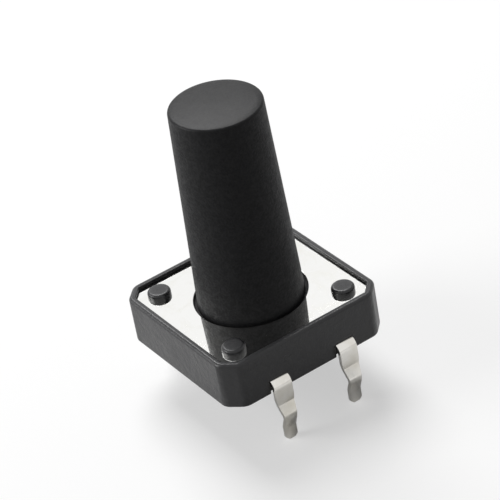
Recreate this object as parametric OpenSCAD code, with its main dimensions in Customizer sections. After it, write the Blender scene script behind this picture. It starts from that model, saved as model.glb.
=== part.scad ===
// Through-hole tactile push button switch: a 12 mm square housing with a long tapered stem.
// The origin is the centre of the housing's underside, where it sits on the board, and
// +Z runs up the stem. The four legs stand in two rows, along the -X and +X sides.

/* [Housing] */
// Side of the square housing
body_w = 12; // [11.6:0.1:13]
// Height of the rim above the board
body_h = 3.3; // [3.2:0.1:4]
// Cut across each upright corner, measured along a side
corner_cut = 1; // [0.6:0.1:1.2]
// Thickness of the rim around the cover plate
rim_t = 0.45; // [0.35:0.05:0.6]
// Rise of the dome's ledge above the contact floor
ledge_h = 0.15; // [0.1:0.05:0.2]
// Width of the dome's ledge
ledge_w = 0.65; // [0.6:0.05:0.8]

/* [Cover plate] */
// Thickness of the sheet
plate_t = 0.25; // [0.2:0.05:0.3]
// Depth of the plate's face below the rim
plate_recess = 0.25; // [0.15:0.05:0.35]
// Clearance between the plate's edge and the rim
plate_gap = 0.05; // [0.03:0.01:0.1]
// Width of sheet left between the stem's hole and the plate's nearest edge
plate_land = 1.85; // [1.6:0.05:2]
// Clearance between the stem and its hole in the plate
stem_gap = 0.25; // [0.15:0.05:0.4]

/* [Rivet studs] */
// Distance from a side of the housing to a stud's axis
stud_inset = 1.84; // [1.7:0.02:2]
// Diameter of a stud in its hole
stud_d = 1; // [0.8:0.1:1.2]
// Clearance around a stud in its hole
stud_gap = 0.05; // [0.03:0.01:0.1]
// Diameter of the head formed on a stud
head_d = 1.5; // [1.3:0.05:1.6]
// Height of the head above the plate
head_h = 0.42; // [0.32:0.02:0.6]
// Rounding of the head's upper edge
head_round = 0.2; // [0.1:0.02:0.28]

/* [Plunger] */
// Height of the stem's tip above the board
stem_top = 17; // [10:0.5:20]
// Loss of the stem's diameter from the plate to the tip
stem_taper = 0.94; // [0.6:0.02:1.4]
// Rounding of the tip's edge
tip_round = 0.25; // [0.1:0.05:0.4]
// Overlap of the flange under the plate, which holds it down
flange_lap = 0.45; // [0.3:0.05:0.5]
// Thickness of the flange and its ears
flange_t = 0.63; // [0.5:0.01:0.7]
// Width of the two ears that stop the stem turning
ear_w = 1.6; // [1.2:0.1:2]
// Reach of an ear beyond the flange
ear_reach = 0.75; // [0.5:0.05:0.8]
// Length of the nub that presses the dome
nub_h = 0.43; // [0.35:0.02:0.6]
// Diameter of the nub
nub_d = 2.4; // [1.8:0.1:3]
// Travel of the plunger
travel = 0.3; // [0.2:0.05:0.35]

/* [Snap dome] */
// Step in from the flange's edge to the dome's edge
dome_step = 0.3; // [0.25:0.05:0.5]
// Height of the dome's crown above its seat
dome_rise = 0.4; // [0.36:0.02:0.5]
// Thickness of the spring sheet
dome_t = 0.1; // [0.06:0.01:0.12]
// Width of the flat band around the dome
dome_band = 0.35; // [0.25:0.05:0.45]

/* [Terminals] */
// Length of a leg below the board's face
leg_drop = 3.5; // [3:0.1:4]
// Distance from the housing's side to the middle of a leg
leg_standoff = 0.25; // [0.22:0.01:0.4]
// Spacing of the two legs along a side
leg_pitch = 5; // [4.6:0.1:5.4]
// Thickness of the strip
leg_t = 0.3; // [0.2:0.05:0.35]
// Width of the strip, and of a leg at its root
leg_root_w = 1.3; // [1:0.05:1.4]
// Width of a leg at its tip
leg_tip_w = 0.85; // [0.6:0.05:1]
// Radius of the bend on the middle of the strip
bend_r = 0.45; // [0.35:0.05:0.5]
// Outward throw of the kink that grips the board
kink_out = 0.3; // [0.2:0.05:0.4]
// Depth of the kink's upper end below the board's face
kink_start = 0.75; // [0.6:0.05:1]
// Height of each sloping side of the kink
kink_slope = 0.75; // [0.6:0.05:0.9]
// Height of the kink's flat crest
kink_crest = 0.3; // [0.2:0.05:0.4]
// Corner cut at a leg's tip
tip_cut = 0.2; // [0.1:0.02:0.28]
// Diameter of the centre contact
centre_d = 1.5; // [1.2:0.1:2]
// Diameter of a side contact under the dome's band
side_d = 0.5; // [0.4:0.05:0.55]

/* [Underside] */
// Side of each square pocket
pocket_w = 1.4; // [1:0.1:1.6]
// Thickness of plastic left between a pocket and the contact floor
pocket_roof = 0.3; // [0.25:0.05:0.6]
// Distance from the housing's side to a pocket's centre
pocket_inset = 2.05; // [1.8:0.05:2.4]
// Depth of the groove between the pockets
groove_depth = 0.15; // [0.1:0.05:0.25]
// Length of a corner recess along X
recess_x = 2; // [1.6:0.1:2.2]
// Width of a corner recess along Y
recess_y = 1.6; // [1.2:0.1:1.8]
// Distance from the housing's +X or -X side to a recess's centre
recess_inset_x = 1.9; // [1.7:0.05:2.2]
// Distance from the housing's +Y or -Y side to a recess's centre
recess_inset_y = 1.5; // [1.3:0.05:1.5]
// Depth of the corner recesses
recess_depth = 0.15; // [0.1:0.05:0.25]
// Width of the stepped border around the seat
border_w = 0.3; // [0.2:0.05:0.4]
// Height of that step
border_h = 0.1; // [0.05:0.05:0.2]

/* [Running clearances] */
// Play between the plunger's flange and the plate above it
flange_play = 0.02; // [0.01:0.01:0.04]
// Play between the nub and the dome's crown
nub_play = 0.02; // [0.01:0.01:0.04]
// Clearance around the flange and beside the ears
guide_gap = 0.1; // [0.05:0.01:0.15]
// Clearance around the dome's edge
dome_gap = 0.15; // [0.1:0.01:0.2]
// Room left under the flange and the crown at full travel
bottom_gap = 0.05; // [0.02:0.01:0.1]
// Clearance around a leg in its notch
notch_gap = 0.05; // [0.03:0.01:0.1]
// Depth of a leg's notch into the housing's side
notch_depth = 0.4; // [0.3:0.05:0.45]

/* [Hidden] */
$fn = 64;
// Overlap that makes one solid of joined shapes, and clears a cut's open side
join = 0.2;
// Number of straight steps in a bend, a rounding and the dome's crown
bend_steps = 6;
round_steps = 5;
crown_steps = 12;

// Heights, from the rim down: plate, flange, nub, dome, ledge, contact floor, strips and pockets
plate_top = body_h - plate_recess;
plate_z = plate_top - plate_t;
flange_top = plate_z - flange_play;
flange_z = flange_top - flange_t;
guide_z = flange_z - travel - bottom_gap;
nub_z = flange_z - nub_h;
crown_z = nub_z - nub_play - dome_t;
contact_z = crown_z - travel - bottom_gap;
seat_z = crown_z - dome_rise;
floor_h = seat_z - ledge_h;
strip_z = floor_h - leg_t;
pocket_depth = floor_h - pocket_roof;

// Radii, from the rim inwards: plate, its hole, the stem in it, the flange under it and the dome
plate_inset = rim_t + plate_gap;
hole_r = body_w / 2 - plate_inset - plate_land;
root_r = hole_r - stem_gap;
tip_r = root_r - stem_taper / 2;
flange_r = hole_r + flange_lap;
guide_r = flange_r + guide_gap;
ear_r = flange_r + ear_reach;
dome_r = flange_r - dome_step;
well_r = dome_r + dome_gap;

// Places in plan
stud_at = body_w / 2 - stud_inset;
row_x = body_w / 2 + leg_standoff;
leg_y = leg_pitch / 2;
side_ring_r = dome_r - dome_band / 2;
side_x = sqrt(side_ring_r * side_ring_r - leg_y * leg_y);

function unit(v) = v / norm(v);
function left_of(v) = [-v[1], v[0]];
function arc(centre, r, from, to, steps) =
    [for (i = [0:steps]) let (a = from + (to - from) * i / steps) centre + r * [cos(a), sin(a)]];

// Square with its corners cut, and the cut that keeps an inner outline parallel to the outer one
function cut_square(side, cut) = let (a = side / 2, b = side / 2 - cut)
    [[a, -b], [a, b], [b, a], [-b, a], [-a, b], [-a, -b], [-b, -a], [b, -a]];
function inner_cut(inset) = corner_cut - inset * (2 - sqrt(2));

// Outline of a strip of thickness t along the line p, mitred at each bend
function miter(a, b, c) = let (n1 = left_of(unit(b - a)), n2 = left_of(unit(c - b)))
    (n1 + n2) / (1 + n1 * n2);
function normal_at(p, i) = i == 0 ? left_of(unit(p[1] - p[0]))
    : i == len(p) - 1 ? left_of(unit(p[i] - p[i - 1])) : miter(p[i - 1], p[i], p[i + 1]);
function thick_line(p, t) = let (n = len(p) - 1) concat(
    [for (i = [0:n]) p[i] + normal_at(p, i) * t / 2],
    [for (i = [n:-1:0]) p[i] - normal_at(p, i) * t / 2]);

// One side of a terminal: over the bend, down past the board, round the kink, to the tip
kink_low = kink_start + kink_slope;
leg_path = concat(
    arc([row_x - bend_r, strip_z + leg_t / 2 - bend_r], bend_r, 90, 0, bend_steps),
    [[row_x, -kink_start],
     [row_x + kink_out, -kink_low],
     [row_x + kink_out, -kink_low - kink_crest],
     [row_x, -kink_low - kink_crest - kink_slope],
     [row_x, -leg_drop]]);
leg_end = len(leg_path) - 1;
strip_path = concat([for (i = [leg_end:-1:0]) [-leg_path[i][0], leg_path[i][1]]], leg_path);

// Front view of a leg, from its tip up to the strip
leg_outline = let (w = leg_root_w / 2, v = leg_tip_w / 2, top = floor_h + join)
    [[-w, top], [-w, -kink_start / 2], [-v, -kink_low - kink_crest], [-v, tip_cut - leg_drop],
     [tip_cut - v, -leg_drop], [v - tip_cut, -leg_drop],
     [v, tip_cut - leg_drop], [v, -kink_low - kink_crest], [w, -kink_start / 2], [w, top]];

// Stamped and bent strip with a leg at each end, as it lies along X
module terminal_strip() {
    intersection() {
        rotate([90, 0, 0]) linear_extrude(leg_root_w, center = true) polygon(thick_line(strip_path, leg_t));
        rotate([90, 0, 90]) linear_extrude(2 * body_w, center = true) polygon(leg_outline);
    }
}

module common_shape() {
    translate([0, -leg_y, 0]) terminal_strip();
    // Tongue from the strip to the middle of the floor, with the centre contact raised on it
    translate([-centre_d / 2, -leg_y, strip_z]) cube([centre_d, leg_y, leg_t]);
    translate([0, 0, strip_z]) cylinder(d = centre_d, h = contact_z - strip_z);
}

module switched_shape() {
    translate([0, leg_y, 0]) terminal_strip();
    // Two contacts raised to the ledge, where the dome's band rests
    for (side = [-1, 1])
        translate([side * side_x, leg_y, floor_h - leg_t / 2]) cylinder(d = side_d, h = leg_t / 2 + ledge_h);
}

// Stud and its formed head, as one turned outline
module rivet_stud() {
    r = head_d / 2;
    top = plate_top + head_h;
    rotate_extrude() polygon(concat(
        [[0, plate_z - join], [stud_d / 2, plate_z - join], [stud_d / 2, plate_top], [r, plate_top]],
        arc([r - head_round, top - head_round], head_round, 0, 90, round_steps),
        [[0, top]]));
}

// Room inside the housing: contact floor, dome well, flange guide and the ears' two slots
module housing_cavity() {
    translate([0, 0, floor_h]) cylinder(r = well_r - ledge_w, h = body_h);
    translate([0, 0, seat_z]) cylinder(r = well_r, h = body_h);
    translate([0, 0, guide_z]) cylinder(r = guide_r, h = body_h);
    slot_w = ear_w + 2 * guide_gap;
    slot_l = 2 * (ear_r + guide_gap);
    translate([-slot_w / 2, -slot_l / 2, guide_z]) cube([slot_w, slot_l, body_h]);
}

// Square pockets, the groove between them, the shallow corner recesses and the stepped border
module underside_cuts() {
    translate([0, 0, -join]) linear_extrude(border_h + join) difference() {
        square(body_w + join, center = true);
        polygon(cut_square(body_w - 2 * border_w, inner_cut(border_w)));
    }
    pocket_x = body_w / 2 - pocket_inset;
    for (side = [-1, 1])
        translate([side * pocket_x - pocket_w / 2, -pocket_w / 2, -join])
            cube([pocket_w, pocket_w, pocket_depth + join]);
    translate([-pocket_x, -pocket_w / 2, -join]) cube([2 * pocket_x, pocket_w, groove_depth + join]);
    for (x = [-1, 1], y = [-1, 1])
        translate([x * (body_w / 2 - recess_inset_x) - recess_x / 2,
                   y * (body_w / 2 - recess_inset_y) - recess_y / 2, -join])
            cube([recess_x, recess_y, recess_depth + join]);
}

// Notch in the bottom edge of a side, where a leg comes out and turns down
module leg_notches() {
    notch_w = leg_root_w + 2 * notch_gap;
    for (x = [-1, 1], y = [-1, 1])
        translate([x * body_w / 2 - notch_depth, y * leg_y - notch_w / 2, -join])
            cube([2 * notch_depth, notch_w, floor_h + join]);
}

module housing() {
    color("#232325") difference() {
        union() {
            difference() {
                linear_extrude(body_h) polygon(cut_square(body_w, corner_cut));
                translate([0, 0, plate_z]) linear_extrude(body_h)
                    polygon(cut_square(body_w - 2 * rim_t, inner_cut(rim_t)));
                housing_cavity();
            }
            for (x = [-1, 1], y = [-1, 1]) translate([x * stud_at, y * stud_at, 0]) rivet_stud();
        }
        underside_cuts();
        leg_notches();
        common_shape();
        switched_shape();
    }
}

module cover_plate() {
    color("#d8dadc") translate([0, 0, plate_z]) linear_extrude(plate_t) difference() {
        polygon(cut_square(body_w - 2 * plate_inset, inner_cut(plate_inset)));
        circle(r = hole_r);
        for (x = [-1, 1], y = [-1, 1]) translate([x * stud_at, y * stud_at]) circle(r = stud_d / 2 + stud_gap);
    }
}

module plunger() {
    // The taper runs on below the plate to the flange
    taper = (root_r - tip_r) / (stem_top - plate_top);
    color("#1d1d1f") {
        rotate_extrude() polygon(concat(
            [[0, nub_z], [nub_d / 2, nub_z], [nub_d / 2, flange_z], [flange_r, flange_z],
             [flange_r, flange_top], [root_r + taper * (plate_top - flange_top), flange_top]],
            arc([tip_r - tip_round, stem_top - tip_round], tip_round, 0, 90, round_steps),
            [[0, stem_top]]));
        translate([-ear_w / 2, -ear_r, flange_z]) cube([ear_w, 2 * ear_r, flange_t]);
    }
}

// Domed spring disc with a flat band around it, drawn as a turned section
module snap_dome() {
    crown_r = dome_r - dome_band;
    sphere_r = (crown_r * crown_r + dome_rise * dome_rise) / (2 * dome_rise);
    half_angle = asin(crown_r / sphere_r);
    centre_z = crown_z - sphere_r;
    color("#c9ccd0") rotate_extrude() polygon(concat(
        arc([0, centre_z], sphere_r, 90, 90 - half_angle, crown_steps),
        [[dome_r, seat_z], [dome_r, seat_z + dome_t]],
        arc([0, centre_z], sphere_r + dome_t, 90 - half_angle, 90, crown_steps)));
}

module common_terminal() {
    color("#cfd2d4") common_shape();
}

module switched_terminal() {
    color("#cfd2d4") switched_shape();
}

housing();
cover_plate();
plunger();
snap_dome();
common_terminal();
switched_terminal();
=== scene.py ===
import math

import bmesh
import bpy
from bpy.props import FloatProperty, FloatVectorProperty, PointerProperty
from bpy.types import Operator, Panel, PropertyGroup
from mathutils import Matrix, Vector


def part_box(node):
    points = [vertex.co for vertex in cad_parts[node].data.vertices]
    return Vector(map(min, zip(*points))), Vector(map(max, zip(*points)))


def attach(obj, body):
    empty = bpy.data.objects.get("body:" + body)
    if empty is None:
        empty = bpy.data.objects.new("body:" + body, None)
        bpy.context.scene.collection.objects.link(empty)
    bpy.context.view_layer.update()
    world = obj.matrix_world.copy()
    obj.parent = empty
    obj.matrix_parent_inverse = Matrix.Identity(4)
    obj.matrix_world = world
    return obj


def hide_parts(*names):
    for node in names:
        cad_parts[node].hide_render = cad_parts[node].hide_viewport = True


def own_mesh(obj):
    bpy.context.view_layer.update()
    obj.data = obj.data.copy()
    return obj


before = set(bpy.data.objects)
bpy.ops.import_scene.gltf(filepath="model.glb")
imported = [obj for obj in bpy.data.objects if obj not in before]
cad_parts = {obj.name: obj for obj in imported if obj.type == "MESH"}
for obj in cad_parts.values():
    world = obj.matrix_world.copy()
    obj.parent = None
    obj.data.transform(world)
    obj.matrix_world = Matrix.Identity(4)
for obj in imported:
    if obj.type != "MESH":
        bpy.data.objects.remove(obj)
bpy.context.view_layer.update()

bl_info = {
    "name": "Tactile Switch Builder",
    "version": (1, 0, 0),
    "blender": (4, 5, 0),
    "location": "View3D > Sidebar > Tactile Switch",
    "description": "Builds the moulded, stamped and plated pieces of a square tactile switch",
    "category": "Add Mesh",
}

# Pieces are drawn in millimetres, where the bevel and merge distances suit them, and
# scaled to metres when they are finished.
MM = 0.001
# Points that lie nearer than this are one point, and heights that differ less are level
MERGE = 1e-4
# Decimals of a millimetre by which a mesh's vertices are put in order
PLACE_DECIMALS = 5
# Extra length of a cutter past the open side of what it cuts, and of a stud into its base
CLEAR = 0.5
# Edges that turn by more than this are rounded
ROUNDED_ANGLE = math.radians(30)
# Edges of a finished piece that turn by more than this are shaded crisp
CRISP_ANGLE = math.radians(40)
# Sides of a large and of a small round shape
ROUND_SIDES = 96
SMALL_ROUND_SIDES = 48
# Segments of a rounding, more of them where it is wide and seen close
FINE_STEPS = 2
EDGE_STEPS = 3
UPRIGHT_STEPS = 4
OUTER_STEPS = 5
TIP_STEPS = 6
# Segments of a bend in a strip, and of the dome from its middle to its band
BEND_STEPS = 8
DOME_STEPS = 12
# Sockets of a colour Mix node, by number because each data type has the same names
MIX_SHARE, MIX_FIRST, MIX_SECOND = 0, 6, 7
MIX_COLOUR = 2


def corners(node):
    """Lowest and highest corner of a CAD node, in millimetres."""
    low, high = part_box(node)
    return low / MM, high / MM


HOUSING_LOW, HOUSING_HIGH = corners("housing")
PLATE_LOW, PLATE_HIGH = corners("cover_plate")
PLUNGER_LOW, PLUNGER_HIGH = corners("plunger")
DOME_LOW, DOME_HIGH = corners("snap_dome")
COMMON_LOW, COMMON_HIGH = corners("common_terminal")
SWITCHED_HIGH = corners("switched_terminal")[1]
HOUSING_SIDE = HOUSING_HIGH.x - HOUSING_LOW.x


def length(name, millimetres, description):
    """A length property that is written in millimetres and kept in metres."""
    return FloatProperty(name=name, description=description, default=millimetres * MM,
                         precision=5, subtype="DISTANCE", unit="LENGTH")


def angle(name, degrees, description):
    """An angle property that is written in degrees and kept in radians."""
    return FloatProperty(name=name, description=description, default=math.radians(degrees),
                         subtype="ANGLE", unit="ROTATION")


def level(name, share, description):
    """A property for a share or a level of light, where 1 is white."""
    return FloatProperty(name=name, description=description, default=share, min=0.0,
                         soft_max=1.0, subtype="FACTOR")


def linear(code):
    """Linear RGB of an sRGB hex colour such as '#1c1c1e'."""
    channels = [int(code[i:i + 2], 16) / 255 for i in (1, 3, 5)]
    return tuple(c / 12.92 if c <= 0.04045 else ((c + 0.055) / 1.055) ** 2.4 for c in channels)


def colour(name, code, description):
    """A colour property that is written as an sRGB hex value and kept as linear RGB."""
    return FloatVectorProperty(name=name, description=description, default=linear(code),
                               size=3, min=0.0, max=1.0, subtype="COLOR")


class TACTILE_PG_housing(PropertyGroup):
    """Sizes of the moulded housing"""
    corner_cut: length("Corner cut", 1.0, "Cut across each upright corner, along a side")
    rim_rise: length("Rim rise", 0.25, "Height of the rim above the cover plate")
    rim_width: length("Rim width", 0.45, "Thickness of the rim around the cover plate")
    upright_round: length("Upright rounding", 0.3, "Rounding beside each cut corner")
    edge_round: length("Edge rounding", 0.24, "Rounding of the upper and lower outer edges")
    rim_round: length("Rim rounding", 0.08, "Rounding of the rim's inner edge")
    stud_spacing: length("Stud spacing", 8.32, "Distance between two studs along a side")
    stud_width: length("Stud diameter", 1.0, "Diameter of a stud in its hole in the plate")
    head_width: length("Head diameter", 1.5, "Diameter of the head formed on a stud")
    head_round: length("Head rounding", 0.2, "Rounding of the head's upper edge")
    floor_height: length("Contact floor", 1.05, "Height of the floor that the contacts lie in")
    guide_height: length("Guide height", 1.8, "Height of the shoulder under the stem's flange")
    ledge_width: length("Ledge width", 0.65, "Width of the ledge that the dome rests on")
    dome_gap: length("Dome gap", 0.15, "Clearance around the dome's edge")
    guide_gap: length("Guide gap", 0.1, "Clearance around the flange and beside its ears")


class TACTILE_PG_underside(PropertyGroup):
    """Sizes of the housing's underside"""
    border_width: length("Border width", 0.3, "Width of the stepped border around the seat")
    border_rise: length("Border rise", 0.1, "Height of that step")
    pocket_width: length("Pocket width", 1.4, "Side of each square pocket")
    pocket_depth: length("Pocket depth", 0.75, "Depth of the square pockets")
    pocket_spacing: length("Pocket spacing", 7.9, "Distance between the middles of the pockets")
    groove_depth: length("Groove depth", 0.15, "Depth of the groove between the pockets")
    recess_length: length("Recess length", 2.0, "Length of a corner recess along X")
    recess_width: length("Recess width", 1.6, "Width of a corner recess along Y")
    recess_spacing_x: length("Recess spacing X", 8.2, "Distance between two recesses along X")
    recess_spacing_y: length("Recess spacing Y", 9.0, "Distance between two recesses along Y")
    recess_depth: length("Recess depth", 0.15, "Depth of the corner recesses")
    notch_depth: length("Notch depth", 0.4, "Depth of a leg's notch into the side")
    notch_gap: length("Notch gap", 0.05, "Clearance beside a leg in its notch")


class TACTILE_PG_plate(PropertyGroup):
    """Sizes of the stamped cover plate"""
    hole_width: length("Stem hole", 7.3, "Diameter of the hole for the stem")
    stud_hole: length("Stud hole", 1.1, "Diameter of the hole for a stud")
    edge_round: length("Edge rounding", 0.09, "Roll-over of the stamped edges")


class TACTILE_PG_plunger(PropertyGroup):
    """Sizes of the moulded push stem"""
    root_width: length("Root diameter", 6.8, "Diameter of the stem at the cover plate's face")
    tip_width: length("Tip diameter", 5.86, "Diameter of the stem at its tip")
    tip_round: length("Tip rounding", 0.14, "Rounding of the tip's edge")
    crown_width: length("Crown width", 0.5, "Width of the gentle slope around the end face")
    crown_drop: length("Crown drop", 0.09, "Drop of the end face over that slope")
    edge_round: length("Edge rounding", 0.05, "Rounding of the flange, the ears and the nub")
    flange_base: length("Flange base", 2.15, "Height of the flange's lower face")
    flange_top: length("Flange top", 2.78, "Height of the flange's upper face")
    ear_width: length("Ear width", 1.6, "Width of the two ears that stop the stem turning")
    nub_width: length("Nub diameter", 2.4, "Diameter of the nub that presses the dome")


class TACTILE_PG_dome(PropertyGroup):
    """Sizes of the snap dome"""
    thickness: length("Thickness", 0.1, "Thickness of the spring sheet")
    band_width: length("Band width", 0.35, "Width of the flat band around the dome")
    press_gap: length("Press gap", 0.01, "Gap between the nub and the dome pressed flat")


class TACTILE_PG_terminals(PropertyGroup):
    """Sizes of the two stamped and bent terminals"""
    leg_spacing: length("Leg spacing", 5.0, "Distance between the two legs along a side")
    row_spacing: length("Row spacing", 12.5, "Distance between the two rows of legs")
    thickness: length("Thickness", 0.3, "Thickness of the strip")
    root_width: length("Root width", 1.3, "Width of the strip, and of a leg at its root")
    tip_width: length("Tip width", 0.85, "Width of a leg at its tip")
    bend_radius: length("Bend radius", 0.45, "Radius of the bend on the middle of the strip")
    kink_start: length("Kink start", 0.75, "Depth of the kink's upper end below the board")
    kink_slope: length("Kink slope", 0.75, "Height of each sloping side of the kink")
    kink_crest: length("Kink crest", 0.3, "Height of the kink's flat crest")
    kink_radius: length("Kink radius", 0.4, "Radius of the kink's four bends")
    tip_cut: length("Tip cut", 0.2, "Corner cut at a leg's tip")
    edge_round: length("Edge rounding", 0.035, "Roll-over of the stamped edges")
    centre_width: length("Centre contact", 1.5, "Diameter of the centre contact")
    side_width: length("Side contact", 0.5, "Diameter of a contact under the dome's band")


class TACTILE_PG_finishes(PropertyGroup):
    """Colours of the finishes"""
    nylon: colour("Nylon", "#1d1d1f", "Moulded nylon of the housing")
    nylon_mottle: colour("Nylon mottling", "#2e2e30", "Paler flow marks and fibres in the nylon")
    stem: colour("Stem", "#1a1a1b", "Spark-textured plastic of the stem")
    stem_mottle: colour("Stem mottling", "#262627", "Raised grain of the stem's texture")
    plate: colour("Plate", "#f5f5f3", "Bright nickel of the cover plate")
    plate_film: colour("Plate film", "#ecebe5", "Handling film on the cover plate")
    silver: colour("Silver", "#dddbd6", "Silver plating of the terminals")
    silver_film: colour("Silver film", "#cdc9bf", "Faint tarnish on the silver")
    steel: colour("Spring steel", "#b7b8ba", "Stainless spring steel of the dome")
    backdrop: colour("Backdrop", "#ffffff", "Plain backdrop and floor")


class TACTILE_PG_stage(PropertyGroup):
    """Camera, lamps and floor"""
    camera_place: FloatVectorProperty(
        name="Camera", description="Place of the camera", size=3, subtype="TRANSLATION",
        unit="LENGTH", default=(0.1176, -0.0650, 0.0962))
    camera_aim: FloatVectorProperty(
        name="Camera aim", description="Point in the middle of the picture", size=3,
        subtype="TRANSLATION", unit="LENGTH", default=(0.0002, 0.0004, 0.0062))
    camera_lean: angle("Lean", 10.6, "Lean of the stem to the left in the picture")
    lens: FloatProperty(
        name="Lens", description="Focal length on a 36 mm sensor", subtype="DISTANCE_CAMERA",
        default=188.5)
    floor_side: length("Floor side", 3000.0, "Side of the square floor")
    lamp_distance: length("Lamp distance", 380.0, "Distance from the switch to each lamp")
    lamp_side: length("Lamp side", 220.0, "Side of each lamp's square diffuser")
    key_elevation: angle("Key elevation", 53.5, "Elevation of the main lamp")
    key_heading: angle("Key heading", 162.0, "Heading of the main lamp, from the +X axis")
    key_level: level("Key level", 0.93, "Light on a card that faces the main lamp, 1 is white")
    fill_elevation: angle("Fill elevation", 22.0, "Elevation of the second lamp")
    fill_heading: angle("Fill heading", -118.0, "Heading of the second lamp, from the +X axis")
    fill_level: level("Fill level", 0.58, "Light on a card that faces the second lamp")
    sky_level: level("Sky level", 0.1, "Even light from all round, 1 is white")
    floor_albedo: level("Floor albedo", 0.18, "Share of light that the floor sends back")
    floor_white: level("Floor white", 0.5, "Share of plain white in the floor as it is seen")
    floor_mirrored: level("Mirrored floor white", 0.1, "That share in the switch's reflections")


def block(low, high, cut=0.0):
    """Box between two corners, with its four uprights cut off by the same amount."""
    bm = bmesh.new()
    low, high = Vector(low), Vector(high)
    bmesh.ops.create_cube(bm, size=1.0)
    bmesh.ops.scale(bm, vec=high - low, verts=bm.verts)
    bmesh.ops.translate(bm, vec=(low + high) / 2, verts=bm.verts)
    if cut:
        uprights = [e for e in bm.edges if abs(e.verts[0].co.z - e.verts[1].co.z) > MERGE]
        bmesh.ops.bevel(bm, geom=uprights, offset=cut, offset_type="OFFSET", affect="EDGES",
                        segments=1, profile=0.5, material=-1)
    return bm


def square_block(side, low, high, cut=0.0):
    """Square block centred on the Z axis."""
    return block((-side / 2, -side / 2, low), (side / 2, side / 2, high), cut)


def disc(width, low, high, place=(0.0, 0.0), sides=ROUND_SIDES):
    """Upright cylinder between two heights."""
    bm = bmesh.new()
    bmesh.ops.create_cone(bm, cap_ends=True, segments=sides, radius1=width / 2,
                          radius2=width / 2, depth=high - low)
    bmesh.ops.translate(bm, vec=(*place, (low + high) / 2), verts=bm.verts)
    return bm


def turned(profile, place=(0.0, 0.0), sides=ROUND_SIDES):
    """Solid turned about Z from (radius, height) points that start and end on the axis."""
    bm = bmesh.new()
    points = [bm.verts.new((radius, 0.0, height)) for radius, height in profile]
    lines = [bm.edges.new(pair) for pair in zip(points, points[1:])]
    bmesh.ops.spin(bm, geom=points + lines, cent=(0, 0, 0), axis=(0, 0, 1),
                   angle=2 * math.pi, steps=sides, use_merge=True)
    bmesh.ops.remove_doubles(bm, verts=bm.verts, dist=MERGE)
    bmesh.ops.dissolve_degenerate(bm, edges=bm.edges, dist=MERGE)
    bmesh.ops.translate(bm, vec=(*place, 0.0), verts=bm.verts)
    return bm


def is_level(edge, height):
    """Whether both ends of an edge lie at a height."""
    return all(abs(v.co.z - height) < MERGE for v in edge.verts)


def soften(bm, width, steps, wanted=lambda edge: True):
    """Rounds those of the sharp edges that are wanted."""
    bmesh.ops.recalc_face_normals(bm, faces=bm.faces)
    sharp = [e for e in bm.edges
             if e.is_manifold and e.calc_face_angle() > ROUNDED_ANGLE and wanted(e)]
    bmesh.ops.bevel(bm, geom=sharp, offset=width, offset_type="OFFSET", affect="EDGES",
                    segments=steps, profile=0.5, material=-1, clamp_overlap=True)
    return bm


def sort_by(elements, place):
    """Sorts the vertices, the edges or the faces of a mesh, and numbers them."""
    order = {element: number for number, element in enumerate(sorted(elements, key=place))}
    elements.sort(key=order.get)
    elements.index_update()


def put_in_order(bm):
    """Sorts all elements by place, as a bevel's order of them changes from run to run."""
    sort_by(bm.verts, lambda v: tuple(round(c, PLACE_DECIMALS) for c in v.co))
    sort_by(bm.edges, lambda e: sorted(v.index for v in e.verts))
    sort_by(bm.faces, lambda f: sorted(v.index for v in f.verts))


def combine(bm, other, operation):
    """Joins two closed meshes or cuts the second from the first. Both are used up."""
    working = []
    for part in (bm, other):
        bmesh.ops.recalc_face_normals(part, faces=part.faces)
        put_in_order(part)
        mesh = bpy.data.meshes.new("working")
        part.to_mesh(mesh)
        part.free()
        working.append(bpy.data.objects.new("working", mesh))
        bpy.context.scene.collection.objects.link(working[-1])
    modifier = working[0].modifiers.new("combine", "BOOLEAN")
    modifier.object = working[1]
    modifier.operation = operation
    modifier.solver = "EXACT"
    evaluated = working[0].evaluated_get(bpy.context.evaluated_depsgraph_get())
    result = bmesh.new()
    result.from_mesh(evaluated.to_mesh())
    evaluated.to_mesh_clear()
    for obj in working:
        mesh = obj.data
        bpy.data.objects.remove(obj)
        bpy.data.meshes.remove(mesh)
    if not result.faces:
        raise RuntimeError("a boolean operation left nothing")
    bmesh.ops.remove_doubles(result, verts=result.verts, dist=MERGE)
    bmesh.ops.dissolve_degenerate(result, edges=result.edges, dist=MERGE)
    return result


def cut_box(bm, place, half_x, half_y, low, high):
    """Cuts a box between two heights out of a mesh, centred on a place in plan."""
    x, y = place
    box = block((x - half_x, y - half_y, low), (x + half_x, y + half_y, high))
    return combine(bm, box, "DIFFERENCE")


def inset_cut(inset):
    """Corner cut of a square that lies that far inside the housing's square all round."""
    return bpy.context.scene.tactile_housing.corner_cut / MM - inset * (2 - math.sqrt(2))


def four_ways(x, y):
    """The four places that mirror (x, y) across both axes."""
    return [(side * x, end * y) for side in (-1, 1) for end in (-1, 1)]


def make_piece(bm, name, material, body, node):
    """Makes a mesh drawn in millimetres a finished piece that stands for a CAD node."""
    bmesh.ops.recalc_face_normals(bm, faces=bm.faces)
    put_in_order(bm)
    bmesh.ops.scale(bm, vec=(MM, MM, MM), verts=bm.verts)
    mesh = bpy.data.meshes.new(name)
    bm.to_mesh(mesh)
    bm.free()
    mesh.materials.append(material)
    mesh.shade_smooth()
    mesh.set_sharp_from_angle(angle=CRISP_ANGLE)
    piece = bpy.data.objects.new(name, mesh)
    bpy.context.scene.collection.objects.link(piece)
    shading = piece.modifiers.new("Shading", "WEIGHTED_NORMAL")
    shading.keep_sharp = True
    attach(piece, body)
    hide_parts(node)
    return piece


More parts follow.
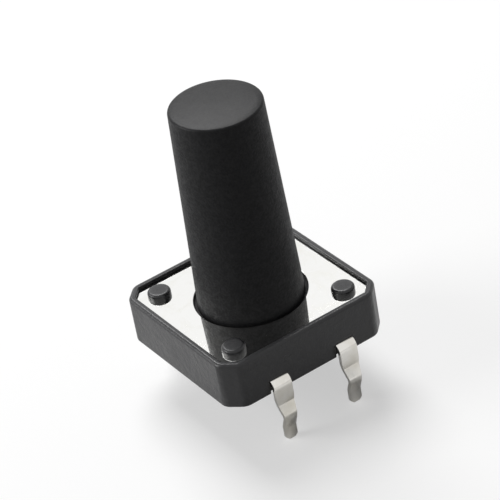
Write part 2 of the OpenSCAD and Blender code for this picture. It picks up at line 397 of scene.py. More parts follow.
def add_node(tree, kind, settings=None, inputs=None):
    """Adds a node. Its inputs, by name or number, take a value or another's output."""
    node = tree.nodes.new(kind)
    for name, value in (settings or {}).items():
        setattr(node, name, value)
    for name, value in (inputs or {}).items():
        if isinstance(value, bpy.types.NodeSocket):
            tree.links.new(value, node.inputs[name])
        else:
            node.inputs[name].default_value = value
    return node


def new_material(name):
    """Empty node material and the Object coordinates that its patterns read."""
    material = bpy.data.materials.new(name)
    material.use_nodes = True
    material.node_tree.nodes.clear()
    place = add_node(material.node_tree, "ShaderNodeTexCoord").outputs["Object"]
    return material, material.node_tree, place


def finish_material(material, inputs):
    """Adds the surface shader with its inputs, and the output."""
    tree = material.node_tree
    surface = add_node(tree, "ShaderNodeBsdfPrincipled", inputs=inputs)
    add_node(tree, "ShaderNodeOutputMaterial", inputs={"Surface": surface.outputs["BSDF"]})
    return material


def pattern_scale(millimetres):
    """Texture scale at which a pattern's grains are that many millimetres across."""
    return 1 / (millimetres * MM)


def rgba(colour_value):
    """Four channels for a colour socket."""
    return (*colour_value, 1.0)


def moulded_nylon(finishes):
    """Glass-filled nylon, injection-moulded: near black and dull, with a fine pitted skin,
    faint flow marks and, here and there, a paler end of fibre. Its level tops, such as the
    rim's and those of the heads formed by a hot punch, are duller than its rounded edges."""
    material, tree, place = new_material("moulded_glass_filled_nylon")
    # The real skin is finer than a hundredth of a millimetre; it is drawn coarser to show
    pits = add_node(tree, "ShaderNodeTexNoise", inputs={
        "Vector": place, "Scale": pattern_scale(0.13), "Detail": 3.0, "Roughness": 0.62})
    blotches = add_node(tree, "ShaderNodeTexNoise", inputs={
        "Vector": place, "Scale": pattern_scale(0.42), "Detail": 2.0, "Roughness": 0.5})
    skin = add_node(tree, "ShaderNodeMath", {"operation": "MULTIPLY_ADD"}, {
        0: blotches.outputs["Fac"], 1: 1.4, 2: pits.outputs["Fac"]})
    flow = add_node(tree, "ShaderNodeTexNoise", inputs={
        "Vector": place, "Scale": pattern_scale(1.7), "Detail": 4.0, "Roughness": 0.58,
        "Distortion": 0.8})
    drawn_out = add_node(tree, "ShaderNodeMapping", inputs={
        "Vector": place, "Rotation": (0.3, 0.2, 0.6), "Scale": (1.0, 0.22, 1.0)})
    fibres = add_node(tree, "ShaderNodeTexNoise", inputs={
        "Vector": drawn_out.outputs["Vector"], "Scale": pattern_scale(0.09), "Detail": 1.0})
    fibre_ends = add_node(tree, "ShaderNodeMapRange", inputs={
        "Value": fibres.outputs["Fac"], "From Min": 0.60, "From Max": 0.74, "To Max": 0.55})
    mottling = add_node(tree, "ShaderNodeMapRange", inputs={
        "Value": flow.outputs["Fac"], "From Min": 0.36, "From Max": 0.68, "To Max": 0.65})
    paler = add_node(tree, "ShaderNodeMath", {"operation": "MAXIMUM"}, {
        0: fibre_ends.outputs["Result"], 1: mottling.outputs["Result"]})
    shade = add_node(tree, "ShaderNodeMix", {"data_type": "RGBA"}, {
        MIX_SHARE: paler.outputs["Value"], MIX_FIRST: rgba(finishes.nylon),
        MIX_SECOND: rgba(finishes.nylon_mottle)})
    face_roughness = add_node(tree, "ShaderNodeMapRange", inputs={
        "Value": flow.outputs["Fac"], "From Min": 0.3, "From Max": 0.7,
        "To Min": 0.26, "To Max": 0.38})
    facing = add_node(tree, "ShaderNodeSeparateXYZ", inputs={
        "Vector": place.node.outputs["Normal"]})
    # Upward share of the surface's direction on a rounded edge, and on a level top
    edge_up, top_up = 0.985, 0.999
    roughness = add_node(tree, "ShaderNodeMapRange", inputs={
        "Value": facing.outputs["Z"], "From Min": edge_up, "From Max": top_up,
        "To Min": face_roughness.outputs["Result"], "To Max": 0.66})
    relief = add_node(tree, "ShaderNodeBump", inputs={
        "Height": skin.outputs["Value"], "Strength": 1.0, "Distance": 0.018 * MM})
    return finish_material(material, {
        "Base Color": shade.outputs[MIX_COLOUR], "Roughness": roughness.outputs["Result"],
        "IOR": 1.53, "Specular IOR Level": 0.38, "Normal": relief.outputs["Normal"]})


def spark_textured_plastic(finishes):
    """Black plastic moulded in a spark-eroded cavity: an even matte grain of tiny craters
    that spreads every highlight into a soft band. The end face, where the cavity is easily
    polished, is smoother than the drafted side."""
    material, tree, place = new_material("spark_textured_plastic")
    # Craters of a real texture are about 0.05 mm; they are drawn about three times as wide
    craters = add_node(tree, "ShaderNodeTexNoise", inputs={
        "Vector": place, "Scale": pattern_scale(0.15), "Detail": 3.0, "Roughness": 0.6})
    clusters = add_node(tree, "ShaderNodeTexNoise", inputs={
        "Vector": place, "Scale": pattern_scale(0.42), "Detail": 2.0, "Roughness": 0.5})
    grain = add_node(tree, "ShaderNodeMath", {"operation": "MULTIPLY_ADD"}, {
        0: clusters.outputs["Fac"], 1: 0.6, 2: craters.outputs["Fac"]})
    raised = add_node(tree, "ShaderNodeMapRange", inputs={
        "Value": grain.outputs["Value"], "From Min": 0.62, "From Max": 0.98})
    shade = add_node(tree, "ShaderNodeMix", {"data_type": "RGBA"}, {
        MIX_SHARE: raised.outputs["Result"], MIX_FIRST: rgba(finishes.stem),
        MIX_SECOND: rgba(finishes.stem_mottle)})
    side_roughness = add_node(tree, "ShaderNodeMapRange", inputs={
        "Value": raised.outputs["Result"], "To Min": 0.62, "To Max": 0.5})
    height = add_node(tree, "ShaderNodeSeparateXYZ", inputs={"Vector": place})
    # The side's finish ends, and the end face's begins, this far below the end face
    side_depth, face_depth = 0.28, 0.14
    end_face = add_node(tree, "ShaderNodeMapRange", inputs={
        "Value": height.outputs["Z"], "From Min": (PLUNGER_HIGH.z - side_depth) * MM,
        "From Max": (PLUNGER_HIGH.z - face_depth) * MM})
    roughness = add_node(tree, "ShaderNodeMapRange", inputs={
        "Value": end_face.outputs["Result"], "To Min": side_roughness.outputs["Result"],
        "To Max": 0.4})
    grain_strength = add_node(tree, "ShaderNodeMapRange", inputs={
        "Value": end_face.outputs["Result"], "To Min": 1.0, "To Max": 0.35})
    relief = add_node(tree, "ShaderNodeBump", inputs={
        "Height": grain.outputs["Value"], "Strength": grain_strength.outputs["Result"],
        "Distance": 0.028 * MM})
    return finish_material(material, {
        "Base Color": shade.outputs[MIX_COLOUR], "Roughness": roughness.outputs["Result"],
        "IOR": 1.5, "Specular IOR Level": 0.125, "Normal": relief.outputs["Normal"]})


def bright_nickel(finishes):
    """Nickel-plated rolled steel sheet: a near mirror, a little wavy from the rolling, with
    hair-fine rolling lines and a faint film from handling."""
    material, tree, place = new_material("bright_nickel_plated_sheet")
    waves = add_node(tree, "ShaderNodeTexNoise", inputs={
        "Vector": place, "Scale": pattern_scale(5.0), "Detail": 1.0, "Roughness": 0.4})
    along = add_node(tree, "ShaderNodeMapping", inputs={
        "Vector": place, "Scale": (0.04, 1.0, 1.0)})
    lines = add_node(tree, "ShaderNodeTexNoise", inputs={
        "Vector": along.outputs["Vector"], "Scale": pattern_scale(0.08), "Detail": 2.0})
    film = add_node(tree, "ShaderNodeTexNoise", inputs={
        "Vector": place, "Scale": pattern_scale(1.4), "Detail": 5.0, "Roughness": 0.6,
        "Distortion": 0.6})
    filmed = add_node(tree, "ShaderNodeMapRange", inputs={
        "Value": film.outputs["Fac"], "From Min": 0.45, "From Max": 0.85})
    shade = add_node(tree, "ShaderNodeMix", {"data_type": "RGBA"}, {
        MIX_SHARE: filmed.outputs["Result"], MIX_FIRST: rgba(finishes.plate),
        MIX_SECOND: rgba(finishes.plate_film)})
    roughness = add_node(tree, "ShaderNodeMapRange", inputs={
        "Value": filmed.outputs["Result"], "To Min": 0.03, "To Max": 0.07})
    rolling = add_node(tree, "ShaderNodeBump", inputs={
        "Height": lines.outputs["Fac"], "Strength": 0.2, "Distance": 0.001 * MM})
    relief = add_node(tree, "ShaderNodeBump", inputs={
        "Height": waves.outputs["Fac"], "Strength": 1.0, "Distance": 0.008 * MM,
        "Normal": rolling.outputs["Normal"]})
    return finish_material(material, {
        "Base Color": shade.outputs[MIX_COLOUR], "Metallic": 1.0,
        "Roughness": roughness.outputs["Result"], "Normal": relief.outputs["Normal"]})


def silvered_brass(finishes):
    """Silver-plated brass strip, stamped and bent: bright and warm-white, with fine lines
    down its length and a slight yellow film."""
    material, tree, place = new_material("silver_plated_brass")
    film = add_node(tree, "ShaderNodeTexNoise", inputs={
        "Vector": place, "Scale": pattern_scale(1.6), "Detail": 3.0, "Roughness": 0.5})
    filmed = add_node(tree, "ShaderNodeMapRange", inputs={
        "Value": film.outputs["Fac"], "From Min": 0.42, "From Max": 0.7})
    across = add_node(tree, "ShaderNodeMapping", inputs={
        "Vector": place, "Scale": (0.06, 1.0, 0.06)})
    lines = add_node(tree, "ShaderNodeTexNoise", inputs={
        "Vector": across.outputs["Vector"], "Scale": pattern_scale(0.05), "Detail": 2.0})
    shade = add_node(tree, "ShaderNodeMix", {"data_type": "RGBA"}, {
        MIX_SHARE: filmed.outputs["Result"], MIX_FIRST: rgba(finishes.silver),
        MIX_SECOND: rgba(finishes.silver_film)})
    roughness = add_node(tree, "ShaderNodeMapRange", inputs={
        "Value": filmed.outputs["Result"], "To Min": 0.11, "To Max": 0.17})
    relief = add_node(tree, "ShaderNodeBump", inputs={
        "Height": lines.outputs["Fac"], "Strength": 0.3, "Distance": 0.0015 * MM})
    return finish_material(material, {
        "Base Color": shade.outputs[MIX_COLOUR], "Metallic": 1.0,
        "Roughness": roughness.outputs["Result"], "Normal": relief.outputs["Normal"]})


def spring_steel(finishes):
    """Stainless spring steel, cold-rolled: greyer than the nickel, with a satin drawn one
    way across the disc."""
    material, tree, place = new_material("cold_rolled_spring_steel")
    along = add_node(tree, "ShaderNodeMapping", inputs={
        "Vector": place, "Scale": (0.05, 1.0, 1.0)})
    lines = add_node(tree, "ShaderNodeTexNoise", inputs={
        "Vector": along.outputs["Vector"], "Scale": pattern_scale(0.06), "Detail": 3.0})
    roughness = add_node(tree, "ShaderNodeMapRange", inputs={
        "Value": lines.outputs["Fac"], "From Min": 0.3, "From Max": 0.7,
        "To Min": 0.2, "To Max": 0.34})
    relief = add_node(tree, "ShaderNodeBump", inputs={
        "Height": lines.outputs["Fac"], "Strength": 0.8, "Distance": 0.003 * MM})
    return finish_material(material, {
        "Base Color": rgba(finishes.steel), "Metallic": 1.0,
        "Roughness": roughness.outputs["Result"], "Normal": relief.outputs["Normal"]})


def seen_directly(rays):
    """1 for the rays that reach the camera straight or through glass."""
    return add_node(rays.id_data, "ShaderNodeMath", {"operation": "MAXIMUM"}, {
        0: rays.outputs["Is Camera Ray"], 1: rays.outputs["Is Transmission Ray"]}).outputs[0]


def seen_at_all(rays):
    """1 for the rays that show the background, also where metal reflects it."""
    return add_node(rays.id_data, "ShaderNodeMath", {"operation": "MAXIMUM"}, {
        0: seen_directly(rays), 1: rays.outputs["Is Glossy Ray"]}).outputs[0]


def matte_floor(finishes, stage):
    """Matte white card. What is seen of it is part plain white and part lit card, so that it
    keeps the switch's soft shadow, and it sends back only a share of the light. From below
    it is clear, so that the switch's underside can be looked at."""
    material, tree, _ = new_material("matte_white_card")
    rays = add_node(tree, "ShaderNodeLightPath")
    card = add_node(tree, "ShaderNodeMix", {"data_type": "RGBA"}, {
        MIX_SHARE: seen_at_all(rays),
        MIX_FIRST: rgba(Vector(finishes.backdrop) * stage.floor_albedo),
        MIX_SECOND: rgba(finishes.backdrop)})
    lit = add_node(tree, "ShaderNodeBsdfDiffuse", inputs={"Color": card.outputs[MIX_COLOUR]})
    white = add_node(tree, "ShaderNodeEmission", inputs={
        "Color": rgba(finishes.backdrop), "Strength": 1.0})
    mirrored = add_node(tree, "ShaderNodeMath", {"operation": "MULTIPLY"}, {
        0: rays.outputs["Is Glossy Ray"], 1: stage.floor_mirrored})
    share = add_node(tree, "ShaderNodeMath", {"operation": "MULTIPLY_ADD"}, {
        0: seen_directly(rays), 1: stage.floor_white, 2: mirrored.outputs["Value"]})
    seen = add_node(tree, "ShaderNodeMixShader", inputs={
        0: share.outputs["Value"], 1: lit.outputs["BSDF"], 2: white.outputs["Emission"]})
    clear = add_node(tree, "ShaderNodeBsdfTransparent")
    surface = add_node(tree, "ShaderNodeMixShader", inputs={
        0: add_node(tree, "ShaderNodeNewGeometry").outputs["Backfacing"],
        1: seen.outputs["Shader"], 2: clear.outputs["BSDF"]})
    add_node(tree, "ShaderNodeOutputMaterial", inputs={"Surface": surface.outputs["Shader"]})
    return material


def white_sky(finishes, stage):
    """World that is plain white where it is seen, and a softer light on the switch."""
    world = bpy.data.worlds.new("studio")
    world.use_nodes = True
    tree = world.node_tree
    tree.nodes.clear()
    light = add_node(tree, "ShaderNodeBackground", inputs={
        "Color": rgba(finishes.backdrop), "Strength": stage.sky_level})
    white = add_node(tree, "ShaderNodeBackground", inputs={
        "Color": rgba(finishes.backdrop), "Strength": 1.0})
    sky = add_node(tree, "ShaderNodeMixShader", inputs={
        0: seen_at_all(add_node(tree, "ShaderNodeLightPath")), 1: light.outputs["Background"],
        2: white.outputs["Background"]})
    add_node(tree, "ShaderNodeOutputWorld", inputs={"Surface": sky.outputs["Shader"]})
    return world


def cut_cavity(bm, sizes):
    """Cuts the recess for the plate, the dome's well, the flange's guide and the ears' slots."""
    top = PLATE_HIGH.z + sizes.rim_rise / MM
    rim = sizes.rim_width / MM
    recess = square_block(HOUSING_SIDE - 2 * rim, PLATE_LOW.z, top + CLEAR, inset_cut(rim))
    bm = combine(bm, recess, "DIFFERENCE")
    floor_z = sizes.floor_height / MM
    guide_z = sizes.guide_height / MM
    guide_gap = sizes.guide_gap / MM
    well = DOME_HIGH.x + sizes.dome_gap / MM
    guide = PLUNGER_HIGH.x + guide_gap
    ledge = well - sizes.ledge_width / MM
    cavity = turned([
        (0, floor_z), (ledge, floor_z), (ledge, DOME_LOW.z), (well, DOME_LOW.z),
        (well, guide_z), (guide, guide_z), (guide, top + CLEAR), (0, top + CLEAR)])
    bm = combine(bm, cavity, "DIFFERENCE")
    ear = bpy.context.scene.tactile_plunger.ear_width / (2 * MM) + guide_gap
    reach = PLUNGER_HIGH.y + guide_gap
    return cut_box(bm, (0, 0), ear, reach, guide_z, top + CLEAR)


def add_studs(bm, sizes):
    """Adds the four studs, whose ends are formed into rounded heads over the plate."""
    stud = sizes.stud_width / (2 * MM)
    head = sizes.head_width / (2 * MM)
    at = sizes.stud_spacing / (2 * MM)
    root = PLATE_LOW.z - CLEAR
    for place in four_ways(at, at):
        rivet = turned([(0, root), (stud, root), (stud, PLATE_HIGH.z), (head, PLATE_HIGH.z),
                        (head, HOUSING_HIGH.z), (0, HOUSING_HIGH.z)], place, SMALL_ROUND_SIDES)
        soften(rivet, sizes.head_round / MM, OUTER_STEPS, lambda e: is_level(e, HOUSING_HIGH.z))
        bm = combine(bm, rivet, "UNION")
    return bm


def cut_underside(bm, sizes):
    """Cuts the stepped border, the pockets and groove, the recesses and the legs' notches."""
    housing = bpy.context.scene.tactile_housing
    legs = bpy.context.scene.tactile_terminals
    border = sizes.border_width / MM
    step = sizes.border_rise / MM
    seat = square_block(HOUSING_SIDE - 2 * border, -2 * CLEAR, step + CLEAR, inset_cut(border))
    ring = combine(square_block(HOUSING_SIDE + CLEAR, -CLEAR, step), seat, "DIFFERENCE")
    bm = combine(bm, ring, "DIFFERENCE")
    pocket = sizes.pocket_width / (2 * MM)
    apart = sizes.pocket_spacing / (2 * MM)
    for x in (-apart, apart):
        bm = cut_box(bm, (x, 0), pocket, pocket, -CLEAR, sizes.pocket_depth / MM)
    bm = cut_box(bm, (0, 0), apart, pocket, -CLEAR, sizes.groove_depth / MM)
    half_x, half_y = sizes.recess_length / (2 * MM), sizes.recess_width / (2 * MM)
    x, y = sizes.recess_spacing_x / (2 * MM), sizes.recess_spacing_y / (2 * MM)
    for place in four_ways(x, y):
        bm = cut_box(bm, place, half_x, half_y, -CLEAR, sizes.recess_depth / MM)
    deep = sizes.notch_depth / MM
    wide = legs.root_width / (2 * MM) + sizes.notch_gap / MM
    for place in four_ways(HOUSING_HIGH.x, legs.leg_spacing / (2 * MM)):
        bm = cut_box(bm, place, deep, wide, -CLEAR, housing.floor_height / MM)
    return bm


def cut_channels(bm, sizes):
    """Cuts the channels that the two strips and their contacts lie in."""
    terminals = bpy.context.scene.tactile_terminals
    top = sizes.floor_height / MM
    low = top - terminals.thickness / MM
    wide = terminals.root_width / (2 * MM)
    row = terminals.leg_spacing / (2 * MM)
    end = HOUSING_HIGH.x + CLEAR
    for y in (-row, row):
        bm = cut_box(bm, (0, y), end, wide, low, top)
    tongue = terminals.centre_width / (2 * MM)
    bm = combine(bm, block((-tongue, -row, low), (tongue, 0, top)), "DIFFERENCE")
    bm = combine(bm, disc(2 * tongue, low, top), "DIFFERENCE")
    for place in side_contacts(terminals):
        bm = combine(bm, disc(terminals.side_width / MM, (low + top) / 2, DOME_LOW.z, place,
                              SMALL_ROUND_SIDES), "DIFFERENCE")
    return bm


def side_contacts(terminals):
    """Places of the two contacts under the middle of the dome's band."""
    ring = DOME_HIGH.x - bpy.context.scene.tactile_dome.band_width / (2 * MM)
    y = terminals.leg_spacing / (2 * MM)
    x = math.sqrt(ring * ring - y * y)
    return [(-x, y), (x, y)]


class TACTILE_OT_housing(Operator):
    """Build the moulded housing, with its formed studs, its cavity and its underside"""
    bl_idname = "tactile.housing"
    bl_label = "Housing"

    def execute(self, context):
        sizes = context.scene.tactile_housing
        top = PLATE_HIGH.z + sizes.rim_rise / MM
        bm = square_block(HOUSING_SIDE, 0.0, top, sizes.corner_cut / MM)
        soften(bm, sizes.upright_round / MM, UPRIGHT_STEPS,
               lambda e: not is_level(e, e.verts[0].co.z))
        soften(bm, sizes.edge_round / MM, OUTER_STEPS)
        bm = cut_cavity(bm, sizes)
        inside = HOUSING_SIDE / 2 - sizes.rim_width / MM
        soften(bm, sizes.rim_round / MM, EDGE_STEPS, lambda e: is_level(e, top) and all(
            max(abs(v.co.x), abs(v.co.y)) < inside + MERGE for v in e.verts))
        bm = add_studs(bm, sizes)
        bm = cut_underside(bm, context.scene.tactile_underside)
        bm = cut_channels(bm, sizes)
        make_piece(bm, "housing_moulding", moulded_nylon(context.scene.tactile_finishes),
                   "base", "housing")
        return {"FINISHED"}


class TACTILE_OT_cover_plate(Operator):
    """Build the stamped cover plate with its five holes"""
    bl_idname = "tactile.cover_plate"
    bl_label = "Cover plate"

    def execute(self, context):
        sizes = context.scene.tactile_plate
        housing = context.scene.tactile_housing
        low, high = PLATE_LOW.z, PLATE_HIGH.z
        bm = square_block(PLATE_HIGH.x - PLATE_LOW.x, low, high,
                          inset_cut(PLATE_LOW.x - HOUSING_LOW.x))
        bm = combine(bm, disc(sizes.hole_width / MM, low - CLEAR, high + CLEAR), "DIFFERENCE")
        at = housing.stud_spacing / (2 * MM)
        for place in four_ways(at, at):
            bm = combine(bm, disc(sizes.stud_hole / MM, low - CLEAR, high + CLEAR, place,
                                  SMALL_ROUND_SIDES), "DIFFERENCE")
        soften(bm, sizes.edge_round / MM, EDGE_STEPS,
               lambda e: is_level(e, low) or is_level(e, high))
        make_piece(bm, "cover_sheet", bright_nickel(context.scene.tactile_finishes),
                   "base", "cover_plate")
        return {"FINISHED"}


class TACTILE_OT_plunger(Operator):
    """Build the push stem, with its rounded tip, its flange, its ears and its nub"""
    bl_idname = "tactile.plunger"
    bl_label = "Plunger"

    def execute(self, context):
        sizes = context.scene.tactile_plunger
        tip = sizes.tip_width / (2 * MM)
        root = sizes.root_width / (2 * MM)
        nub = sizes.nub_width / (2 * MM)
        low, high = PLUNGER_LOW.z, PLUNGER_HIGH.z
        base, top = sizes.flange_base / MM, sizes.flange_top / MM
        taper = (root - tip) / (high - PLATE_HIGH.z)
        neck = root + taper * (PLATE_HIGH.z - top)
        flange = PLUNGER_HIGH.x
        brink = high - sizes.crown_drop / MM
        bm = turned([(0, low), (nub, low), (nub, base), (flange, base), (flange, top),
                     (neck, top), (tip, brink), (tip - sizes.crown_width / MM, high), (0, high)])
        soften(bm, sizes.edge_round / MM, FINE_STEPS, lambda e: e.verts[0].co.z < top + MERGE)
        soften(bm, sizes.tip_round / MM, TIP_STEPS, lambda e: is_level(e, brink))
        ear = sizes.ear_width / (2 * MM)
        ears = block((-ear, PLUNGER_LOW.y, base), (ear, PLUNGER_HIGH.y, top))
        bm = combine(bm, soften(ears, sizes.edge_round / MM, FINE_STEPS), "UNION")
        make_piece(bm, "push_stem", spark_textured_plastic(context.scene.tactile_finishes),
                   "plunger", "plunger")
        return {"FINISHED"}


class TACTILE_OT_snap_dome(Operator):
    """Build the domed spring disc at rest; the real disc flattens as the stem goes down"""
    bl_idname = "tactile.snap_dome"
    bl_label = "Snap dome"

    def execute(self, context):
        sizes = context.scene.tactile_dome
        thick = sizes.thickness / MM
        edge = DOME_HIGH.x
        crown = edge - sizes.band_width / MM
        rise = DOME_HIGH.z - DOME_LOW.z - thick
        radius = (crown * crown + rise * rise) / (2 * rise)
        centre = DOME_LOW.z + rise - radius
        half_angle = math.asin(crown / radius)
        turns = [half_angle * step / DOME_STEPS for step in range(DOME_STEPS + 1)]
        under = [(radius * math.sin(a), centre + radius * math.cos(a)) for a in turns]
        over = [((radius + thick) * math.sin(a), centre + (radius + thick) * math.cos(a))
                for a in turns]
        bm = turned(under + [(edge, DOME_LOW.z), (edge, DOME_LOW.z + thick)] + over[::-1])
        piece = make_piece(bm, "snap_disc", spring_steel(context.scene.tactile_finishes),
                           "base", "snap_dome")
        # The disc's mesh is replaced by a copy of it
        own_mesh(piece)
        return {"FINISHED"}


def rounded_line(corners_xz):
    """Points of a line in the XZ plane. Each corner is (x, z, radius of its rounding)."""
    points = []
    for number, (x, z, radius) in enumerate(corners_xz):
        corner = Vector((x, z))
        if not radius:
            points.append(corner)
            continue
        back = (Vector(corners_xz[number - 1][:2]) - corner).normalized()
        ahead = (Vector(corners_xz[number + 1][:2]) - corner).normalized()
        half = back.angle(ahead) / 2
        centre = corner + (back + ahead).normalized() * radius / math.sin(half)
        arm = corner + back * radius / math.tan(half) - centre
        turn = math.copysign(math.pi - 2 * half, back.cross(ahead) * -1)
        points += [centre + Matrix.Rotation(turn * step / BEND_STEPS, 2) @ arm
                   for step in range(BEND_STEPS + 1)]
    return points


def terminal_strip(sizes, y):
    """Stamped strip along X, bent down at both ends into kinked legs."""
    thick = sizes.thickness / MM
    wide = sizes.root_width / MM
    row = sizes.row_spacing / (2 * MM)
    crest = COMMON_HIGH.x - thick / 2
    middle = bpy.context.scene.tactile_housing.floor_height / MM - thick / 2
    slope = sizes.kink_slope / MM
    start = -sizes.kink_start / MM
    crest_low = start - slope - sizes.kink_crest / MM
    tip = COMMON_LOW.z
    taper_top = start / 2
    kink = sizes.kink_radius / MM
    line = rounded_line([
        (0, middle, 0), (row, middle, sizes.bend_radius / MM), (row, taper_top, 0),
        (row, start, kink), (crest, start - slope, kink), (crest, crest_low, kink),
        (row, crest_low - slope, kink), (row, tip, 0)])
    bm = bmesh.new()
    points = [bm.verts.new((x, y - wide / 2, z)) for x, z in line]
    lines = [bm.edges.new(pair) for pair in zip(points, points[1:])]
    drawn = bmesh.ops.extrude_edge_only(bm, edges=lines)["geom"]
    bmesh.ops.translate(bm, vec=(0, wide, 0),
                        verts=[g for g in drawn if isinstance(g, bmesh.types.BMVert)])
    narrowing = 1 - sizes.tip_width / sizes.root_width
    for point in bm.verts:
        down = min(max((taper_top - point.co.z) / (taper_top - crest_low), 0.0), 1.0)
        point.co.y = y + (point.co.y - y) * (1 - narrowing * down)
    tip_corners = [v for v in bm.verts if abs(v.co.z - tip) < MERGE]
    bmesh.ops.bevel(bm, geom=tip_corners, offset=sizes.tip_cut / MM, offset_type="OFFSET",
                    affect="VERTICES", segments=1, profile=0.5, material=-1)
    bmesh.ops.mirror(bm, geom=bm.verts[:] + bm.edges[:] + bm.faces[:], axis="X",
                     merge_dist=MERGE)
    bmesh.ops.remove_doubles(bm, verts=bm.verts, dist=MERGE)
    bmesh.ops.recalc_face_normals(bm, faces=bm.faces)
    # The strip's two faces lie half a thickness either side of the line
    moves = [(v, v.normal * v.calc_shell_factor() * thick / 2) for v in bm.verts]
    for point, move in moves:
        point.co += move
    bmesh.ops.solidify(bm, geom=bm.faces[:], thickness=thick)
    return soften(bm, sizes.edge_round / MM, FINE_STEPS)


def add_centre_contact(bm, sizes, row):
    """Adds the tongue to the middle of the floor and the raised contact on its end."""
    top = bpy.context.scene.tactile_housing.floor_height / MM
    low = top - sizes.thickness / MM
    half = sizes.centre_width / (2 * MM)
    bm = combine(bm, block((-half, row, low), (half, 0, top)), "UNION")
    contact = disc(2 * half, low, COMMON_HIGH.z, sides=SMALL_ROUND_SIDES)
    soften(contact, sizes.edge_round / MM, EDGE_STEPS, lambda e: is_level(e, COMMON_HIGH.z))
    return combine(bm, contact, "UNION")


def add_side_contacts(bm, sizes):
    """Adds the two contacts that carry the dome's band."""
    middle = (bpy.context.scene.tactile_housing.floor_height - sizes.thickness / 2) / MM
    for place in side_contacts(sizes):
        contact = disc(sizes.side_width / MM, middle, SWITCHED_HIGH.z, place, SMALL_ROUND_SIDES)
        soften(contact, sizes.edge_round / MM, EDGE_STEPS,
               lambda e: is_level(e, SWITCHED_HIGH.z))
        bm = combine(bm, contact, "UNION")
    return bm


class TACTILE_OT_terminals(Operator):
    """Build the two terminals: strips with kinked legs, and the contacts on them"""
    bl_idname = "tactile.terminals"
    bl_label = "Terminals"

    def execute(self, context):
        sizes = context.scene.tactile_terminals
        row = sizes.leg_spacing / (2 * MM)
        silver = silvered_brass(context.scene.tactile_finishes)
        common = add_centre_contact(terminal_strip(sizes, -row), sizes, -row)
        make_piece(common, "common_strip", silver, "base", "common_terminal")
        switched = add_side_contacts(terminal_strip(sizes, row), sizes)
        make_piece(switched, "switched_strip", silver, "base",
                   "switched_terminal")
        return {"FINISHED"}


def add_lamp(name, heading, elevation, brightness, stage):
    """Square softbox that points at the middle of the switch."""
    distance = stage.lamp_distance
    aim = Vector(stage.camera_aim)
    toward = Vector((math.cos(heading) * math.cos(elevation),
                     math.sin(heading) * math.cos(elevation), math.sin(elevation)))
    data = bpy.data.lights.new(name, "AREA")
    data.shape = "SQUARE"
    data.size = stage.lamp_side
    # A lamp of this power gives a white card that faces it this brightness
    data.energy = brightness * (math.pi * distance) ** 2
    lamp = bpy.data.objects.new(name, data)
    lamp.matrix_world = (Matrix.Translation(aim + toward * distance)
                         @ toward.to_track_quat("Z", "Y").to_matrix().to_4x4())
    bpy.context.scene.collection.objects.link(lamp)


def add_camera(stage):
    """Camera at the photograph's viewing angle, closer in."""
    data = bpy.data.cameras.new("camera")
    data.sensor_width = 36.0
    data.lens = stage.lens
    data.clip_start = 0.01
    data.clip_end = 10.0
    data.dof.use_dof = False
    camera = bpy.data.objects.new("camera", data)
    place, aim = Vector(stage.camera_place), Vector(stage.camera_aim)
    camera.matrix_world = (Matrix.Translation(place)
                           @ (aim - place).to_track_quat("-Z", "Y").to_matrix().to_4x4()
                           @ Matrix.Rotation(-stage.camera_lean, 4, "Z"))
    bpy.context.scene.collection.objects.link(camera)
    bpy.context.scene.camera = camera


def add_floor(finishes, stage):
    """Floor that the tips of the legs stand on."""
    bm = bmesh.new()
    bmesh.ops.create_grid(bm, x_segments=1, y_segments=1, size=stage.floor_side / 2)
    bmesh.ops.translate(bm, vec=(0, 0, COMMON_LOW.z * MM), verts=bm.verts)
    mesh = bpy.data.meshes.new("floor")
    bm.to_mesh(mesh)
    bm.free()
    mesh.materials.append(matte_floor(finishes, stage))
    floor = bpy.data.objects.new("floor", mesh)
    bpy.context.scene.collection.objects.link(floor)


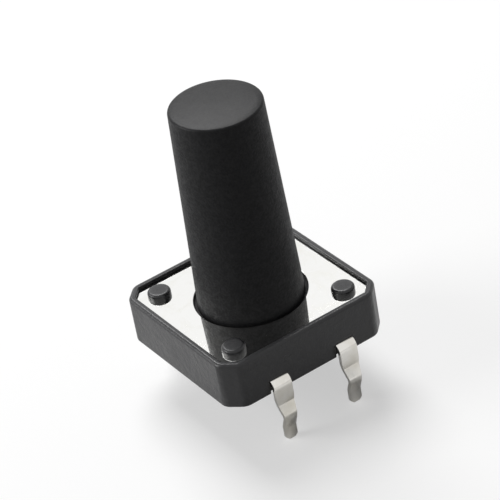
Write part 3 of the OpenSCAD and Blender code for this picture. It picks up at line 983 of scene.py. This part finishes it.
class TACTILE_OT_stage(Operator):
    """Build the floor, the sky, the lamps and the camera"""
    bl_idname = "tactile.stage"
    bl_label = "Stage"

    def execute(self, context):
        scene = context.scene
        finishes, stage = scene.tactile_finishes, scene.tactile_stage
        scene.world = white_sky(finishes, stage)
        add_floor(finishes, stage)
        add_lamp("key", stage.key_heading, stage.key_elevation, stage.key_level, stage)
        add_lamp("fill", stage.fill_heading, stage.fill_elevation, stage.fill_level, stage)
        add_camera(stage)
        scene.view_settings.view_transform = "Standard"
        return {"FINISHED"}


class TACTILE_PT_builder(Panel):
    """Lists the switch's pieces and the stage"""
    bl_idname = "TACTILE_PT_builder"
    bl_label = "Tactile Switch"
    bl_space_type = "VIEW_3D"
    bl_region_type = "UI"
    bl_category = "Tactile Switch"

    def draw(self, context):
        for operator in OPERATORS:
            self.layout.operator(operator.bl_idname)
        for name in SETTINGS:
            box = self.layout.box()
            settings = getattr(context.scene, name)
            box.label(text=settings.bl_rna.name)
            for key in settings.__annotations__:
                box.prop(settings, key)


OPERATORS = (TACTILE_OT_housing, TACTILE_OT_cover_plate, TACTILE_OT_plunger,
             TACTILE_OT_snap_dome, TACTILE_OT_terminals, TACTILE_OT_stage)
SETTINGS = {
    "tactile_housing": TACTILE_PG_housing,
    "tactile_underside": TACTILE_PG_underside,
    "tactile_plate": TACTILE_PG_plate,
    "tactile_plunger": TACTILE_PG_plunger,
    "tactile_dome": TACTILE_PG_dome,
    "tactile_terminals": TACTILE_PG_terminals,
    "tactile_finishes": TACTILE_PG_finishes,
    "tactile_stage": TACTILE_PG_stage,
}


def register():
    for cls in (*SETTINGS.values(), *OPERATORS, TACTILE_PT_builder):
        bpy.utils.register_class(cls)
    for name, group in SETTINGS.items():
        setattr(bpy.types.Scene, name, PointerProperty(type=group))


def unregister():
    for name in SETTINGS:
        delattr(bpy.types.Scene, name)
    for cls in (TACTILE_PT_builder, *reversed(OPERATORS), *reversed(SETTINGS.values())):
        bpy.utils.unregister_class(cls)


def main():
    register()
    bpy.ops.tactile.housing()
    bpy.ops.tactile.cover_plate()
    bpy.ops.tactile.plunger()
    bpy.ops.tactile.snap_dome()
    bpy.ops.tactile.terminals()
    bpy.ops.tactile.stage()


if __name__ == "__main__":
    main()
